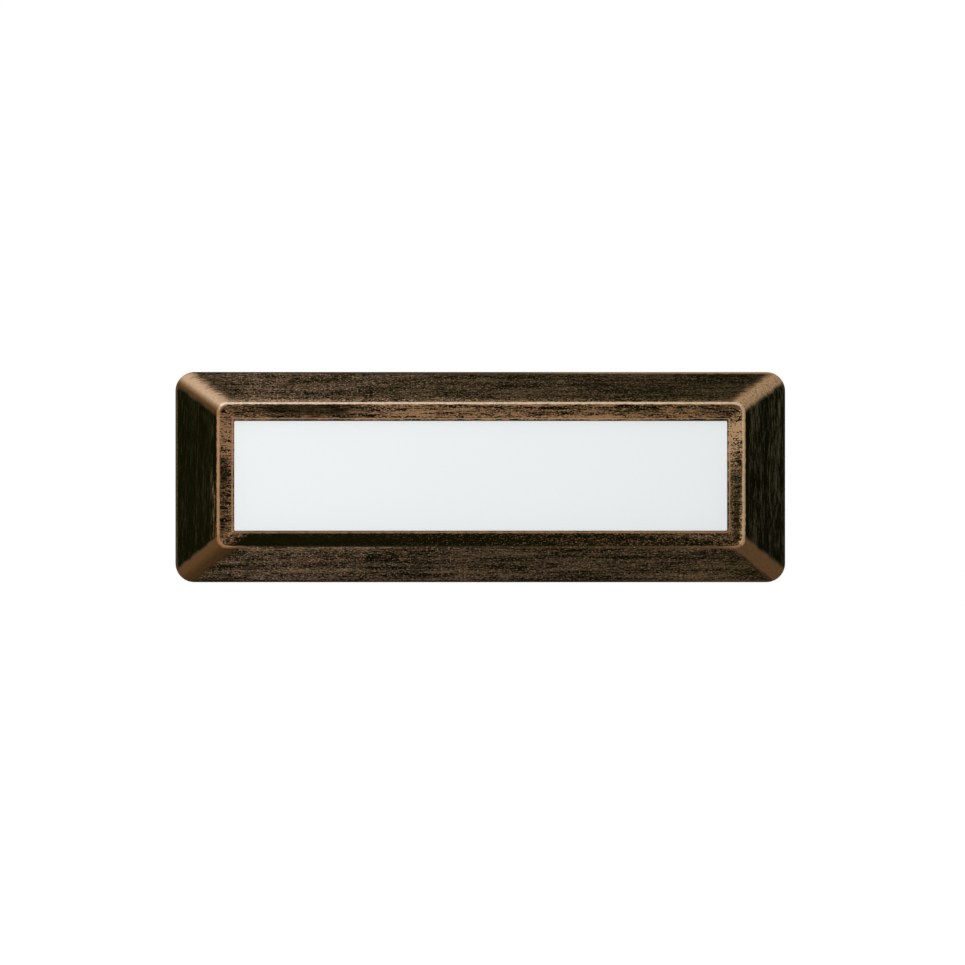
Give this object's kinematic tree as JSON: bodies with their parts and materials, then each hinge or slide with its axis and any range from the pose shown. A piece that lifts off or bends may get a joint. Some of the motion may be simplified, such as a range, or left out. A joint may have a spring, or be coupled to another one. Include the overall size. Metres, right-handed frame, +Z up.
{
  "type": "outdoor wall light",
  "caption": "Recessed rectangular outdoor wall light: sloped cast frame in black and antique copper round a long opal diffuser, lamp housing in a wall box.",
  "frame": {"origin": "centre of the light in the plane of the wall, where the front frame's rim meets the wall", "axes": "+X along the length to the right seen from the front, +Y into the wall, +Z up; the front looks along -Y"},
  "size_m": [0.29, 0.0916, 0.1],
  "materials": {
    "antique_copper": "black paint, dry-brushed antique copper, satin",
    "opal": "opal, satin",
    "black_rubber": "matt",
    "foam": "closed-cell foam, matt",
    "clip_steel": "zinc plated",
    "screw_steel": "stainless",
    "spring_steel": "bright rolled",
    "housing_grey": "die-cast, powder coated",
    "white_tray": "white gloss enamel",
    "white_board": "white solder mask",
    "yellow_chip": "phosphor",
    "white_plastic": "fine texture",
    "green_board": "solder mask",
    "coil_and_parts": "tape and moulded",
    "cream_plastic": "moulded",
    "lever_grey": "moulded",
    "brown_wire": "extruded sheath",
    "blue_wire": "extruded sheath",
    "green_wire": "extruded sheath",
    "red_wire": "extruded sheath",
    "brass": "turned",
    "gland_grey": "moulded",
    "box_plastic": "recycled moulding, matt"
  },
  "bodies": {
    "wall_box_body": {"wall_box": "box_plastic", "threaded_inserts": "brass", "cable_grommet": "black_rubber", "blanking_plug": "black_rubber"},
    "housing": {"lamp_housing": "housing_grey", "wall_seal": "foam", "housing_seal": "black_rubber", "housing_screws": "screw_steel", "screw_seals": "black_rubber", "gear_tray": "white_tray", "tray_screws": "screw_steel", "tray_grommet": "black_rubber", "led_board": "white_board", "led_chips": "yellow_chip", "led_connector": "white_plastic", "board_screws": "screw_steel", "driver_base": "white_plastic", "driver_board": "green_board", "driver_parts": "coil_and_parts", "driver_lid": "white_plastic", "driver_screws": "screw_steel", "terminal_block": "cream_plastic", "terminal_screws": "screw_steel", "live_lead": "brown_wire", "neutral_lead": "blue_wire", "earth_lead": "green_wire", "led_leads": "red_wire", "earth_screw": "brass", "earth_lug": "clip_steel", "gland_body": "gland_grey", "gland_oring": "black_rubber", "gland_locknut": "gland_grey", "gland_seal": "black_rubber", "gland_nut": "gland_grey"},
    "front_frame": {"bezel_frame": "antique_copper", "diffuser": "opal", "diffuser_gasket": "black_rubber", "diffuser_clips": "clip_steel", "clip_screws": "screw_steel", "snap_springs": "spring_steel", "spring_screws": "screw_steel"},
    "live_lever": {"lever_live": "lever_grey"},
    "neutral_lever": {"lever_neutral": "lever_grey"},
    "earth_lever": {"lever_earth": "lever_grey"}
  },
  "joints": [
    {"name": "housing_pull", "type": "slide", "parent": "wall_box_body", "child": "housing", "axis": [0, -1, 0], "range_m": [0, 0.09]},
    {"name": "cover_pull", "type": "slide", "parent": "housing", "child": "front_frame", "axis": [0, -1, 0], "range_m": [0, 0.06]},
    {"name": "live_lever_hinge", "type": "hinge", "parent": "housing", "child": "live_lever", "pos_m": [0.0429, 0.0372, 0.0066], "axis": [0, 0, 1], "range_deg": [0, 90]},
    {"name": "neutral_lever_hinge", "type": "hinge", "parent": "housing", "child": "neutral_lever", "pos_m": [0.0429, 0.0372, 0], "axis": [0, 0, 1], "range_deg": [0, 90]},
    {"name": "earth_lever_hinge", "type": "hinge", "parent": "housing", "child": "earth_lever", "pos_m": [0.0429, 0.0372, -0.0066], "axis": [0, 0, 1], "range_deg": [0, 90]}
  ]
}
